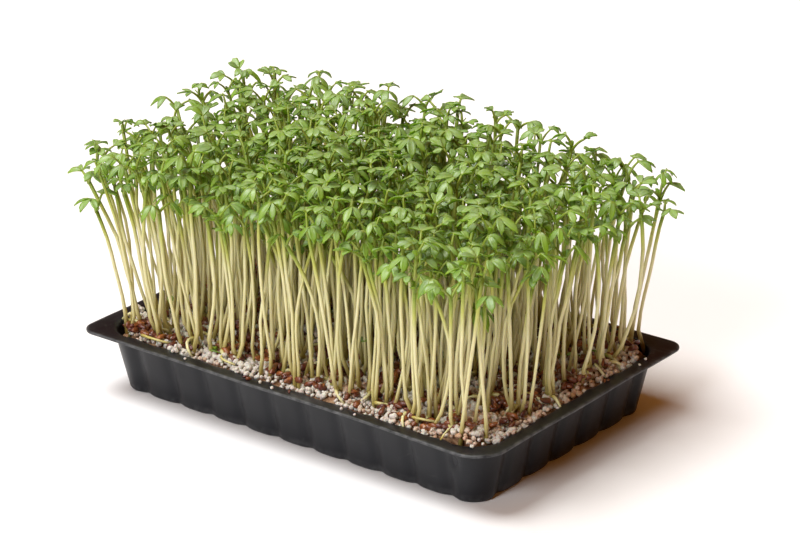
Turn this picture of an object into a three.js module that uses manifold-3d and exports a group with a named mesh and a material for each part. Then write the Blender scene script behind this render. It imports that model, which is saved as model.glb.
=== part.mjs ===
// A fluted plastic tray of garden cress seedlings that grow in perlite granules.
// Millimetres, +Z up. The origin is the middle of the tray's flat underside, with the long side along X.
import * as THREE from 'three';
import { mergeVertices } from 'three/addons/utils/BufferGeometryUtils.js';
import Module from 'manifold-3d';

const wasm = await Module();
wasm.setup();

// Tray
const trayLength = 130;
const trayWidth = 86;
const trayHeight = 17;
const wallThickness = 0.8;
const flangeThickness = 0.7;
const flangeCornerRadius = 6;
const wallTopInset = 3.8; // from the flange's edge to the wall under it
const wallFootInset = 7.3; // the same at the base, so that the walls taper inwards
const footRounding = 1.2;
const flutePitch = 10.9;
const grooveHalfWidth = 2;
const grooveDepth = 0.6;
const panelCrown = 0.3; // how far the middle of a panel swells outwards
const longGrooves = 10;
const shortGrooves = 6;

// Growing medium
const pieceGap = 0.35; // air between two pieces that touch
const mediumLevel = 16.9; // the height of the granules along the walls
const mediumHeap = 1.3; // how much higher they lie in the middle
const grainStep = 4.4;
const grainJitter = 0.26; // in steps
const grainRelief = 0.75; // how far granules stand above the gaps between them, each way
const rootDepth = 5.5;
const holeHalfLength = 1.15; // along X, round a bunch's two stems
const holeHalfWidth = 2.4;
const openAbove = 6; // how far a cutting tool runs on above the tray

// Seedlings
const bunchColumns = 10;
const bunchRows = 5;
const standHalfLength = 55;
const standHalfWidth = 32;
const siteJitter = 1.2;
const basePairGap = 1.3; // from the middle of a bunch to each of its two stems at the surface
const leanLeft = 6.5; // how far the outermost seedlings lean over the edge, left, right and across
const leanRight = 2.5;
const leanAcross = 3.5;
const stemRadius = 0.62;
const stemCorners = [0, 0.5, 1, 1.5].map((halfTurns) => halfTurns * Math.PI);
const shortestStem = 36;
const tallestStem = 50;
const endDrop = 3; // how much shorter the stems are at the tray's two ends
const stalkLength = 4.4;
const stalkRadius = 0.45;
const leafletLength = 6;
const leafletWidth = 2.8;
const sideLeafletShare = 0.86; // a side leaflet's size against the middle one's
const sideLeafletTurn = 0.92; // radians between the middle leaflet and a side one
const leafThickness = 0.7;
const leafletNotch = 0.24; // along a leaflet: where it parts from its neighbour
const leafletShoulder = 0.3;
const leafletWaist = 0.67;
const leafletRib = 0.52;
const shoulderWidth = 0.72; // against half the leaflet's width
const waistWidth = 0.94;
const clearance = 1.5; // between points sampled on two seedlings
const seedlingTries = 300;

// Seed hulls
const hullClusters = 8;
const hullsPerCluster = 5;
const hullLength = 4.4;
const hullRadius = 1.15;
const hullBedRadius = 6.5; // the granules lie flat and lower under a cluster
const hullBedDepth = 0.4;
const hullSpacing = 1.25;
const hullBelt = 5; // sides of a hull's widest section

// Draws from 0 to 1 that repeat for a given seed
function seededDraws(seed) {
  let state = seed;
  return () => {
    state = (state * 16807) % 2147483647;
    return state / 2147483647;
  };
}

const between = (draw, low, high) => low + (high - low) * draw();

// Solids in and out of the boolean library
function solidOf(geometry) {
  const bare = geometry.clone();
  bare.deleteAttribute('normal');
  bare.deleteAttribute('uv');
  const merged = mergeVertices(bare, 1e-5);
  const mesh = new wasm.Mesh({
    numProp: 3,
    vertProperties: new Float32Array(merged.attributes.position.array),
    triVerts: new Uint32Array(merged.index.array),
  });
  return new wasm.Manifold(mesh);
}

function geometryOf(solid) {
  const mesh = solid.getMesh();
  const geometry = new THREE.BufferGeometry();
  geometry.setAttribute('position', new THREE.BufferAttribute(new Float32Array(mesh.vertProperties), 3));
  geometry.setIndex(new THREE.BufferAttribute(new Uint32Array(mesh.triVerts), 1));
  return geometry;
}

function indexedGeometry(points, index) {
  const geometry = new THREE.BufferGeometry();
  geometry.setAttribute('position', new THREE.Float32BufferAttribute(points.flat(), 3));
  geometry.setIndex(index);
  return geometry;
}

// A closed skin over rings of equal length, counterclockwise seen from above, with a flat cap at each end
function skinOver(rings) {
  const count = rings[0].length;
  const index = [];
  for (let ring = 0; ring < rings.length - 1; ring++) {
    for (let i = 0; i < count; i++) {
      const a = ring * count + i;
      const b = ring * count + ((i + 1) % count);
      index.push(a, b, b + count, a, b + count, a + count);
    }
  }
  const flat = (ring) => ring.map((p) => new THREE.Vector2(p[0], p[1]));
  const last = (rings.length - 1) * count;
  for (const [a, b, c] of THREE.ShapeUtils.triangulateShape(flat(rings[0]), [])) index.push(a, c, b);
  for (const [a, b, c] of THREE.ShapeUtils.triangulateShape(flat(rings.at(-1)), [])) {
    index.push(last + a, last + b, last + c);
  }
  return indexedGeometry(rings.flat(), index);
}

// The tray's outline goes through stations along its four sides, each with the flute's reach there
const lastLongGroove = ((longGrooves - 1) / 2) * flutePitch;
const lastShortGroove = ((shortGrooves - 1) / 2) * flutePitch;
const coreX = lastLongGroove + grooveHalfWidth + 0.8;
const coreY = trayWidth / 2 - (trayLength / 2 - coreX);

function sideStations(grooves, withShoulders) {
  const stations = [];
  for (let k = 0; k < grooves; k++) {
    const middle = (k - (grooves - 1) / 2) * flutePitch;
    if (withShoulders) stations.push({ along: middle - grooveHalfWidth, flute: 0 });
    stations.push({ along: middle, flute: -grooveDepth });
    if (withShoulders) stations.push({ along: middle + grooveHalfWidth, flute: 0 });
    if (k < grooves - 1) stations.push({ along: middle + flutePitch / 2, flute: panelCrown });
  }
  return stations;
}

function outline({ inset, z, flutes = 1, cornerX = coreX, cornerY = coreY, coarse = false }) {
  const cornerSteps = coarse ? 2 : 4;
  const halfX = trayLength / 2 - inset;
  const halfY = trayWidth / 2 - inset;
  const radius = halfX - cornerX;
  const long = sideStations(longGrooves, !coarse);
  const short = sideStations(shortGrooves, !coarse);
  const ring = [];
  for (let quarter = 0; quarter < 4; quarter++) {
    const onLong = quarter % 2 === 0; // the near side first, then the right one, the far one and the left one
    const sign = quarter < 2 ? 1 : -1;
    for (const { along, flute } of onLong ? long : short) {
      const reach = (onLong ? halfY : halfX) + flute * flutes;
      ring.push(onLong ? [along * sign, -reach * sign, z] : [reach * sign, along * sign, z]);
    }
    const centreX = cornerX * sign;
    const centreY = onLong ? -cornerY * sign : cornerY * sign;
    for (let step = 0; step <= cornerSteps; step++) {
      const angle = (quarter - 1 + step / cornerSteps) * (Math.PI / 2);
      const swell = radius + panelCrown * flutes * Math.sin((Math.PI * step) / cornerSteps);
      ring.push([centreX + swell * Math.cos(angle), centreY + swell * Math.sin(angle), z]);
    }
  }
  return ring;
}

function trayGeometry() {
  const flangeCorner = {
    flutes: 0,
    cornerX: trayLength / 2 - flangeCornerRadius,
    cornerY: trayWidth / 2 - flangeCornerRadius,
  };
  return skinOver([
    outline({ inset: wallFootInset + footRounding * 0.6, z: 0 }),
    outline({ inset: wallFootInset, z: footRounding }),
    outline({ inset: wallTopInset, z: trayHeight - flangeThickness }),
    outline({ inset: 0, z: trayHeight - flangeThickness, ...flangeCorner }),
    outline({ inset: 0, z: trayHeight, ...flangeCorner }),
    outline({ inset: wallTopInset + wallThickness, z: trayHeight }),
    outline({ inset: wallFootInset + wallThickness, z: wallThickness }),
  ]);
}

// The granules' surface: a gentle heap, with a grain of its own at each point of a grid
const surfaceLevel = (x, y) =>
  mediumLevel + mediumHeap * (1 - (x / (trayLength / 2)) ** 2) * (1 - (y / (trayWidth / 2)) ** 2);

function mediumSlab(hullSites) {
  const draw = seededDraws(4021);
  const columns = Math.ceil(trayLength / grainStep);
  const rows = Math.ceil(trayWidth / grainStep);
  const points = [];
  for (let row = 0; row <= rows; row++) {
    for (let column = 0; column <= columns; column++) {
      const x = (column - columns / 2 + between(draw, -grainJitter, grainJitter)) * grainStep;
      const y = (row - rows / 2 + between(draw, -grainJitter, grainJitter)) * grainStep;
      const crestOrGap = (row + column) % 2 === 0 ? 1 : -1;
      const grain = (crestOrGap + between(draw, -0.9, 0.7)) * grainRelief;
      const underHulls = hullSites.some((site) => Math.hypot(x - site.x, (y - site.y) * 0.8) < hullBedRadius);
      points.push([x, y, surfaceLevel(x, y) + (underHulls ? -hullBedDepth : grain)]);
    }
  }
  const wide = columns + 1;
  const index = [];
  for (let row = 0; row < rows; row++) {
    for (let column = 0; column < columns; column++) {
      const a = row * wide + column;
      index.push(a, a + 1, a + 1 + wide, a, a + 1 + wide, a + wide);
    }
  }
  const rim = [];
  for (let column = 0; column < columns; column++) rim.push(column);
  for (let row = 0; row < rows; row++) rim.push(row * wide + columns);
  for (let column = columns; column > 0; column--) rim.push(rows * wide + column);
  for (let row = rows; row > 0; row--) rim.push(row * wide);
  const foot = points.length;
  for (const top of rim) points.push([points[top][0], points[top][1], 0]);
  const middle = points.length;
  points.push([0, 0, 0]);
  rim.forEach((top, i) => {
    const next = (i + 1) % rim.length;
    index.push(foot + i, foot + next, rim[next], foot + i, rim[next], top);
    index.push(middle, foot + next, foot + i);
  });
  return indexedGeometry(points, index);
}

function plainHole(site) {
  const corners = [[1, -1], [1, 1], [-1, 1], [-1, -1]];
  const ring = (z) => corners.map(([x, y]) => [site.x + x * holeHalfLength, site.y + y * holeHalfWidth, z]);
  const floor = surfaceLevel(site.x, site.y) - rootDepth - stemRadius * 2;
  return skinOver([ring(floor), ring(trayHeight + openAbove)]);
}

function mediumGeometry(sites, hullSites) {
  const cavity = skinOver([
    outline({ inset: wallFootInset + wallThickness + pieceGap, z: wallThickness + pieceGap, coarse: true }),
    outline({ inset: wallTopInset + wallThickness + pieceGap, z: trayHeight, coarse: true }),
    outline({ inset: wallTopInset + wallThickness + pieceGap, z: trayHeight + openAbove, coarse: true }),
  ]);
  let solid = solidOf(mediumSlab(hullSites)).intersect(solidOf(cavity));
  for (const site of sites) solid = solid.subtract(solidOf(plainHole(site)));
  return geometryOf(solid);
}

// Where the bunches stand: staggered rows, each place a little off its row
function bunchSites() {
  const draw = seededDraws(77);
  const sites = [];
  for (let row = 0; row < bunchRows; row++) {
    for (let column = 0; column < bunchColumns; column++) {
      const stagger = row % 2 === 0 ? -0.2 : 0.2;
      const x = (column / (bunchColumns - 1) - 0.5) * 2 + (stagger * 2) / bunchColumns;
      const y = (row / (bunchRows - 1) - 0.5) * 2;
      sites.push({
        x: Math.max(-1, Math.min(1, x)) * standHalfLength + between(draw, -siteJitter, siteJitter),
        y: y * standHalfWidth + between(draw, -siteJitter, siteJitter),
      });
    }
  }
  return sites;
}

// One seedling's draws: a stem that leans and bows, and two seed leaves
function drawSeedling(draw, site, side) {
  const outX = site.x / standHalfLength;
  const outY = site.y / standHalfWidth;
  const seedling = {
    rootX: site.x,
    rootY: site.y,
    baseX: site.x,
    baseY: site.y + side * basePairGap,
    baseZ: surfaceLevel(site.x, site.y),
    height: between(draw, shortestStem, tallestStem) - endDrop * outX ** 2,
    leanX: (outX < 0 ? leanLeft : leanRight) * outX ** 3 + between(draw, -3.5, 3.5),
    leanY: leanAcross * outY ** 3 + side * between(draw, 0.5, 4.5),
    bowX: between(draw, -1.4, 1.4),
    bowY: between(draw, -1.4, 1.4),
    azimuth: between(draw, 0, Math.PI),
    leaves: [],
  };
  for (const turn of [0, Math.PI]) {
    seedling.leaves.push({
      azimuth: seedling.azimuth + turn + between(draw, -0.25, 0.25),
      rise: between(draw, 0.5, 1.15),
      pitch: between(draw, 0, 0.5),
      drop: between(draw, 0.3, 0.8),
      size: between(draw, 0.86, 1.06),
    });
  }
  return seedling;
}

function stemPoint(seedling, t) {
  const lean = 0.4 * t + 0.6 * t * t;
  const bow = Math.sin(Math.PI * t);
  return [
    seedling.baseX + seedling.leanX * lean + seedling.bowX * bow,
    seedling.baseY + seedling.leanY * lean + seedling.bowY * bow,
    seedling.baseZ + seedling.height * t,
  ];
}

// The end of a leaf's stalk, where its three leaflets meet
function leafHub(seedling, leaf) {
  const top = stemPoint(seedling, 1);
  const out = stalkLength * leaf.size * Math.cos(leaf.rise);
  return [
    top[0] + out * Math.cos(leaf.azimuth),
    top[1] + out * Math.sin(leaf.azimuth),
    top[2] + stalkLength * leaf.size * Math.sin(leaf.rise),
  ];
}

// A point of a leaflet: u runs from the hub to the tip, v from one edge to the other, and lift raises it
function leafletPoint(hub, leaf, turn, u, v, lift = 0) {
  const share = turn === 0 ? 1 : sideLeafletShare;
  const length = leafletLength * share * leaf.size;
  const halfWidth = (leafletWidth * share * leaf.size) / 2;
  const angle = leaf.azimuth + turn;
  const out = length * u * Math.cos(leaf.pitch);
  const rise = length * (u * Math.sin(leaf.pitch) - leaf.drop * u * u);
  return [
    hub[0] + out * Math.cos(angle) - halfWidth * v * Math.sin(angle),
    hub[1] + out * Math.sin(angle) + halfWidth * v * Math.cos(angle),
    hub[2] + rise + lift,
  ];
}

const leafletTurns = [-sideLeafletTurn, 0, sideLeafletTurn];

function sampledPoints(seedling) {
  const points = [];
  for (let z = 2; z < seedling.height; z += 1.4) points.push(stemPoint(seedling, z / seedling.height));
  for (const leaf of seedling.leaves) {
    const hub = leafHub(seedling, leaf);
    const top = stemPoint(seedling, 1);
    points.push(hub, [(hub[0] + top[0]) / 2, (hub[1] + top[1]) / 2, (hub[2] + top[2]) / 2]);
    for (const turn of leafletTurns) {
      for (const u of [0.25, 0.5, 0.75, 1]) points.push(leafletPoint(hub, leaf, turn, u, 0));
      for (const u of [0.35, 0.6, 0.85]) {
        points.push(leafletPoint(hub, leaf, turn, u, -0.9), leafletPoint(hub, leaf, turn, u, 0.9));
      }
    }
  }
  return points;
}

// Points already taken, kept by the cell that each is in
function cellOf(point, dx = 0, dy = 0, dz = 0) {
  const cell = point.map((value) => Math.floor(value / clearance));
  return `${cell[0] + dx},${cell[1] + dy},${cell[2] + dz}`;
}

function isClear(points, taken) {
  const steps = [-1, 0, 1];
  for (const point of points) {
    for (const dx of steps) {
      for (const dy of steps) {
        for (const dz of steps) {
          for (const other of taken.get(cellOf(point, dx, dy, dz)) ?? []) {
            const gap = Math.hypot(point[0] - other[0], point[1] - other[1], point[2] - other[2]);
            if (gap < clearance) return false;
          }
        }
      }
    }
  }
  return true;
}

// Two seedlings to a bunch, each drawn again until it is clear of all that stand already
function growBunches(sites) {
  const draw = seededDraws(7);
  const taken = new Map();
  return sites.map((site) => {
    const bunch = [];
    for (const side of [-1, 1]) {
      for (let attempt = 0; attempt < seedlingTries; attempt++) {
        const seedling = drawSeedling(draw, site, side);
        const points = sampledPoints(seedling);
        if (!isClear(points, taken)) continue;
        for (const point of points) {
          const cell = cellOf(point);
          taken.set(cell, [...(taken.get(cell) ?? []), point]);
        }
        bunch.push(seedling);
        break;
      }
    }
    return bunch;
  });
}

// A seedling's skin above the ground: a four-sided stem that parts into two leaf stalks with three leaflets
// each. It returns the ring where the stem leaves the ground.
function growSeedling(skin, seedling) {
  const { add, face, join } = skin;
  const rings = [0, 0.35, 0.7, 1].map((t) => {
    const centre = stemPoint(seedling, t);
    return stemCorners.map((corner) => {
      const angle = seedling.azimuth + corner;
      const offset = [stemRadius * Math.cos(angle), stemRadius * Math.sin(angle)];
      return add([centre[0] + offset[0], centre[1] + offset[1], centre[2]]);
    });
  });
  for (let i = 0; i < 3; i++) join(rings[i], rings[i + 1]);
  const node = rings[3];
  const top = stemPoint(seedling, 1);
  const crown = add([top[0], top[1], top[2] + stemRadius]);
  seedling.leaves.forEach((leaf, i) => {
    const [out, left, , right] = i === 0 ? node : [node[2], node[3], node[0], node[1]];
    const hub = leafHub(seedling, leaf);
    const across = [-Math.sin(leaf.azimuth) * stalkRadius, Math.cos(leaf.azimuth) * stalkRadius];
    const neckLeft = add([hub[0] + across[0], hub[1] + across[1], hub[2]]);
    const neckTop = add([hub[0], hub[1], hub[2] + leafThickness / 2]);
    const neckRight = add([hub[0] - across[0], hub[1] - across[1], hub[2]]);
    const neckFoot = add([hub[0], hub[1], hub[2] - leafThickness / 2]);
    join([left, crown, right, out], [neckLeft, neckTop, neckRight, neckFoot]);
    const at = (turn, u, v, lift) => add(leafletPoint(hub, leaf, turn, u, v, lift));
    const notches = [at(-sideLeafletTurn / 2, leafletNotch, 0), at(sideLeafletTurn / 2, leafletNotch, 0)];
    const fan = (rib, edge) => edge.map((point, k) => [rib, point, edge[(k + 1) % edge.length]]);
    const sideLeaflet = (turn, inner, neck) => {
      const sign = Math.sign(turn);
      const shoulder = at(turn, leafletShoulder, shoulderWidth * sign);
      const outer = at(turn, leafletWaist, waistWidth * sign);
      const tip = at(turn, 1, 0);
      const innerEdge = at(turn, leafletWaist, -waistWidth * sign);
      const rib = at(turn, leafletRib, 0, leafThickness);
      const faces = fan(rib, [neckTop, shoulder, outer, tip, innerEdge, inner]);
      faces.push([neckTop, neck, shoulder], [neckFoot, shoulder, neck], [neckFoot, inner, shoulder]);
      faces.push([shoulder, inner, innerEdge], [shoulder, innerEdge, outer], [outer, innerEdge, tip]);
      for (const [a, b, c] of faces) face(...(sign < 0 ? [a, b, c] : [a, c, b]));
    };
    sideLeaflet(-sideLeafletTurn, notches[0], neckRight);
    sideLeaflet(sideLeafletTurn, notches[1], neckLeft);
    const rightEdge = at(0, leafletWaist, -waistWidth);
    const tip = at(0, 1, 0);
    const leftEdge = at(0, leafletWaist, waistWidth);
    const rib = at(0, leafletRib, 0, leafThickness);
    const faces = fan(rib, [neckTop, notches[0], rightEdge, tip, leftEdge, notches[1]]);
    faces.push([neckFoot, notches[1], notches[0]], [notches[0], notches[1], leftEdge]);
    faces.push([notches[0], leftEdge, rightEdge], [rightEdge, leftEdge, tip]);
    for (const [a, b, c] of faces) face(a, b, c);
  });
  return rings[0];
}

// A bunch as one closed skin: below the surface its two stems bend into each other at a shared root
function bunchGeometry([first, second]) {
  const points = [];
  const index = [];
  const skin = {
    add: (point) => points.push(point) - 1,
    face: (a, b, c) => index.push(a, b, c),
    join: (lower, upper) => {
      for (let i = 0; i < 4; i++) {
        const next = (i + 1) % 4;
        index.push(lower[i], lower[next], upper[next], lower[i], upper[next], upper[i]);
      }
    },
  };
  const footOfFirst = growSeedling(skin, first);
  if (!second) {
    const root = stemCorners.map((corner) => {
      const angle = first.azimuth + corner;
      return skin.add([
        first.rootX + stemRadius * Math.cos(angle),
        first.rootY + stemRadius * Math.sin(angle),
        first.baseZ - rootDepth,
      ]);
    });
    skin.join(root, footOfFirst);
    skin.face(root[0], root[2], root[1]);
    skin.face(root[0], root[3], root[2]);
    return indexedGeometry(points, index);
  }
  const footOfSecond = growSeedling(skin, second);
  const root = stemCorners.map((corner) => {
    const angle = second.azimuth + corner;
    return skin.add([
      second.rootX + stemRadius * Math.cos(angle),
      second.rootY,
      second.baseZ - rootDepth - stemRadius * Math.sin(angle),
    ]);
  });
  skin.join(root, footOfSecond);
  // Seen from the first stem the root's corners run the other way round, and the nearest one comes first
  const quarterTurns = Math.round((first.azimuth + second.azimuth) / (Math.PI / 2));
  skin.join(stemCorners.map((corner, i) => root[(8 - quarterTurns - i) % 4]), footOfFirst);
  return indexedGeometry(points, index);
}

// Hull clusters lie between two bunches of a row
function hullPlaces(sites) {
  const draw = seededDraws(5);
  const places = [];
  const stride = Math.floor(sites.length / hullClusters);
  for (let i = 0; i < hullClusters; i++) {
    let spot = i * stride + Math.floor(between(draw, 0, stride));
    if (spot % bunchColumns === bunchColumns - 1) spot -= 1;
    places.push({ x: (sites[spot].x + sites[spot + 1].x) / 2, y: (sites[spot].y + sites[spot + 1].y) / 2 });
  }
  return places;
}

// A seed hull is a spindle with a six-sided belt
function hullGeometry(centre, heading, tilt) {
  const half = hullLength / 2;
  const axis = [Math.cos(heading) * Math.cos(tilt), Math.sin(heading) * Math.cos(tilt), Math.sin(tilt)];
  const points = [-half, half].map((reach) => axis.map((value, k) => centre[k] + value * reach));
  for (let i = 0; i < hullBelt; i++) {
    const angle = (i / hullBelt) * Math.PI * 2;
    const across = Math.cos(angle) * hullRadius;
    const up = Math.sin(angle) * hullRadius * 0.8;
    points.push([
      centre[0] - Math.sin(heading) * across - Math.cos(heading) * Math.sin(tilt) * up,
      centre[1] + Math.cos(heading) * across - Math.sin(heading) * Math.sin(tilt) * up,
      centre[2] + Math.cos(tilt) * up,
    ]);
  }
  const index = [];
  for (let i = 0; i < hullBelt; i++) {
    const a = 2 + i;
    const b = 2 + ((i + 1) % hullBelt);
    index.push(0, b, a, 1, a, b);
  }
  return indexedGeometry(points, index);
}

function hullClusterGeometry(place, number) {
  const draw = seededDraws(900 + number);
  const z = surfaceLevel(place.x, place.y) + pieceGap + hullRadius + 0.1;
  let solid;
  for (let i = 0; i < hullsPerCluster; i++) {
    const y = place.y + (i - (hullsPerCluster - 1) / 2) * hullSpacing;
    const x = place.x + (i % 2 === 0 ? -0.5 : 0.5) + between(draw, -0.3, 0.3);
    const heading = between(draw, -0.45, 0.45);
    const geometry = hullGeometry([x, y, z + between(draw, 0, 0.15)], heading, between(draw, -0.06, 0.1));
    solid = solid ? solid.add(solidOf(geometry)) : solidOf(geometry);
  }
  return geometryOf(solid);
}

// Assembly
const materials = {
  tray: new THREE.MeshStandardMaterial({ color: 0x2c2f33, roughness: 0.5, metalness: 0 }),
  medium: new THREE.MeshStandardMaterial({ color: 0xdccbb8, roughness: 0.95, metalness: 0 }),
  hulls: new THREE.MeshStandardMaterial({ color: 0x7c3519, roughness: 0.6, metalness: 0 }),
  seedlings: new THREE.MeshStandardMaterial({ color: 0x8fae4a, roughness: 0.55, metalness: 0 }),
};

const group = new THREE.Group();

function place(name, geometry, material) {
  const mesh = new THREE.Mesh(geometry, material);
  mesh.name = name;
  group.add(mesh);
}

const sites = bunchSites();
const hullSites = hullPlaces(sites);
place('tray', trayGeometry(), materials.tray);
place('growing_medium', mediumGeometry(sites, hullSites), materials.medium);
hullSites.forEach((site, i) => place(`seed_hulls_${i + 1}`, hullClusterGeometry(site, i), materials.hulls));
growBunches(sites).forEach((bunch, i) => {
  place(`seedlings_${i + 1}`, bunchGeometry(bunch), materials.seedlings);
});

export default group;
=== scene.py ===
# Garden cress seedlings in a fluted plastic tray of perlite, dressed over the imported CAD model.
# Metres, +Z up. The origin is the middle of the tray's flat underside, with the long side along X.
from math import atan2, cos, exp, hypot, pi, radians, sin, sqrt
import bmesh
import bpy
from mathutils import Matrix, Vector, noise
from mathutils.kdtree import KDTree


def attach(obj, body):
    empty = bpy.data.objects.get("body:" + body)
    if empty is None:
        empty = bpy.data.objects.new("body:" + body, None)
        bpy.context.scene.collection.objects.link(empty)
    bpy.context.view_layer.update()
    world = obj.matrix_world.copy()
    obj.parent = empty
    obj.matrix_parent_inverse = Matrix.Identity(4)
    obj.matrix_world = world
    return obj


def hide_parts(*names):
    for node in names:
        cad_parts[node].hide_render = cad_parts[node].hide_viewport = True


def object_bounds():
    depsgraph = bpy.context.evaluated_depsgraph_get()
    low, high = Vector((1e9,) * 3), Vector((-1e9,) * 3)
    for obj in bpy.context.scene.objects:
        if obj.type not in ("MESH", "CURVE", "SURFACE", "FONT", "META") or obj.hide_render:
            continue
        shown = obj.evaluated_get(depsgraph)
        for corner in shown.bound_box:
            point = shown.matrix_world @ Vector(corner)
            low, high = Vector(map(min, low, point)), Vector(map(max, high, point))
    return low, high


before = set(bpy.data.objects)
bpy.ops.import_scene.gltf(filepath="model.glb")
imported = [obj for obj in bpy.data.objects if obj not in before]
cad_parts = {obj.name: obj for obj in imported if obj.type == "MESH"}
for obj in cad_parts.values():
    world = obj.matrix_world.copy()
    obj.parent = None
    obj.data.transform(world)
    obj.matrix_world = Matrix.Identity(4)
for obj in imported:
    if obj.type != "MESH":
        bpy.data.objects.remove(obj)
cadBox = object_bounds()
mm = 0.001
print("frame loaded")


# Small helpers

def seededDraws(seed):
    state = seed

    def draw():
        nonlocal state
        state = (state * 16807) % 2147483647
        return state / 2147483647
    return draw


def between(draw, low, high):
    return low + (high - low) * draw()


def around(draw, reach):
    return between(draw, -reach, reach)


def mix(a, b, share):
    return a + (b - a) * share


def clamp(value, low=0.0, high=1.0):
    return max(low, min(high, value))


def driftAt(x, y, scale, layer):
    # Smooth noise, with its own layer for each use
    return noise.noise(Vector((x * scale, y * scale, layer)))


def meshFrom(name, bm):
    mesh = bpy.data.meshes.new(name)
    bm.to_mesh(mesh)
    bm.free()
    return mesh


def vertsAmong(parts):
    return [part for part in parts if isinstance(part, bmesh.types.BMVert)]


def addObject(name, data):
    item = bpy.data.objects.new(name, data)
    bpy.context.scene.collection.objects.link(item)
    return item


def newPiece(name, bm, materials, replaced=()):
    mesh = meshFrom(name, bm)
    for face in mesh.polygons:
        face.use_smooth = True
    piece = addObject(name, mesh)
    for material in materials:
        mesh.materials.append(material)
    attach(piece, "root")
    if replaced:
        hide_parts(*replaced)


def stamp(bm, template, place, tone, material=0, ripeness=1.0):
    # Adds a copy of a template. place() turns a template point into its spot in millimetres, and ripeness
    # says how far along the stem colours it reaches.
    toneLayer = bm.verts.layers.float_color["tone"]
    uvLayer = bm.loops.layers.uv["skin"]
    firstVert, firstFace = len(bm.verts), len(bm.faces)
    bm.from_mesh(template)
    bm.verts.ensure_lookup_table()
    bm.faces.ensure_lookup_table()
    patterns = {}
    for vert in bm.verts[firstVert:]:
        patterns[vert] = vert.co.copy()
        vert.co = place(patterns[vert]) * mm
        vert[toneLayer] = tone
    for face in bm.faces[firstFace:]:
        face.material_index = material
        for loop in face.loops:
            x, y, z = patterns[loop.vert]
            loop[uvLayer].uv = (x, y) if material == 1 else (atan2(y, x) / (2 * pi), z * ripeness)


def emptyPiece():
    bm = bmesh.new()
    bm.verts.layers.float_color.new("tone")
    bm.loops.layers.uv.new("skin")
    return bm


# Shader nodes

def feed(tree, node, inputs):
    # Each input is given another node's output, a colour or a plain value
    for name, value in inputs.items():
        socket = node.inputs[name]
        if isinstance(value, bpy.types.NodeSocket):
            tree.links.new(value, socket)
        else:
            socket.default_value = (*value, 1) if socket.type == "RGBA" else value


def addNode(tree, kind, inputs=None, **settings):
    node = tree.nodes.new(kind)
    for name, value in settings.items():
        setattr(node, name, value)
    feed(tree, node, inputs or {})
    return node


def rampColour(tree, share, stops):
    ramp = addNode(tree, "ShaderNodeValToRGB", {"Fac": share})
    points = ramp.color_ramp.elements
    while len(points) < len(stops):
        points.new(0.5)
    for point, (position, colour) in zip(points, stops):
        point.position = position
        point.color = (*colour, 1)
    return ramp.outputs["Color"]


def ranged(tree, value, low, high, first=0.0, last=1.0):
    # Turns the values from low to high into those from first to last
    inputs = {"Value": value, "From Min": low, "From Max": high, "To Min": first, "To Max": last}
    return addNode(tree, "ShaderNodeMapRange", inputs).outputs["Result"]


def splitAxes(tree, vector):
    return addNode(tree, "ShaderNodeSeparateXYZ", {"Vector": vector}).outputs


def multiply(tree, first, second):
    return addNode(tree, "ShaderNodeMath", {0: first, 1: second}, operation="MULTIPLY").outputs[0]


def blend(tree, mask, first, second):
    # The mask is the second one's share
    return addNode(tree, "ShaderNodeMix", {"Factor": mask, 6: first, 7: second}, data_type="RGBA").outputs[2]


def bumped(tree, height, distance, strength=1.0):
    inputs = {"Height": height, "Distance": distance, "Strength": strength}
    return addNode(tree, "ShaderNodeBump", inputs).outputs["Normal"]


def toneParts(tree):
    tone = addNode(tree, "ShaderNodeAttribute", attribute_name="tone").outputs["Color"]
    return addNode(tree, "ShaderNodeSeparateColor", {"Color": tone}).outputs


def skinParts(tree):
    return splitAxes(tree, addNode(tree, "ShaderNodeUVMap", uv_map="skin").outputs["UV"])


def makeMottle():
    # Soft blotches between 0 and 1, with a size in blotches per metre
    group = bpy.data.node_groups.new("mottle", "ShaderNodeTree")
    for label in ("Scale", "Low", "High"):
        group.interface.new_socket(label, in_out="INPUT", socket_type="NodeSocketFloat")
    group.interface.new_socket("Mask", in_out="OUTPUT", socket_type="NodeSocketFloat")
    given = addNode(group, "NodeGroupInput").outputs
    blotches = addNode(group, "ShaderNodeTexNoise", {
        "Vector": addNode(group, "ShaderNodeTexCoord").outputs["Object"], "Scale": given["Scale"],
        "Detail": 4.0, "Roughness": 0.6,
    })
    mask = ranged(group, blotches.outputs["Fac"], given["Low"], given["High"])
    addNode(group, "NodeGroupOutput", {"Mask": mask})
    return group


mottleGroup = makeMottle()


def mottle(tree, scale, low=0.35, high=0.65):
    inputs = {"Scale": scale, "Low": low, "High": high}
    return addNode(tree, "ShaderNodeGroup", inputs, node_tree=mottleGroup).outputs["Mask"]


def dress(material, inputs):
    feed(material.node_tree, material.node_tree.nodes["Principled BSDF"], inputs)
    return material


def newMaterial(name, inputs):
    material = bpy.data.materials.new(name)
    material.use_nodes = True
    return dress(material, inputs), material.node_tree


# Camera: a long lens that looks at the front right corner, as in the photograph

camera = {
    "lens": 144, "sensor": 36, "distance": 825, "azimuth": 37.9, "elevation": 22.4, "roll": -0.3,
    "right": 4.9, "up": 33.6,
}


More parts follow.
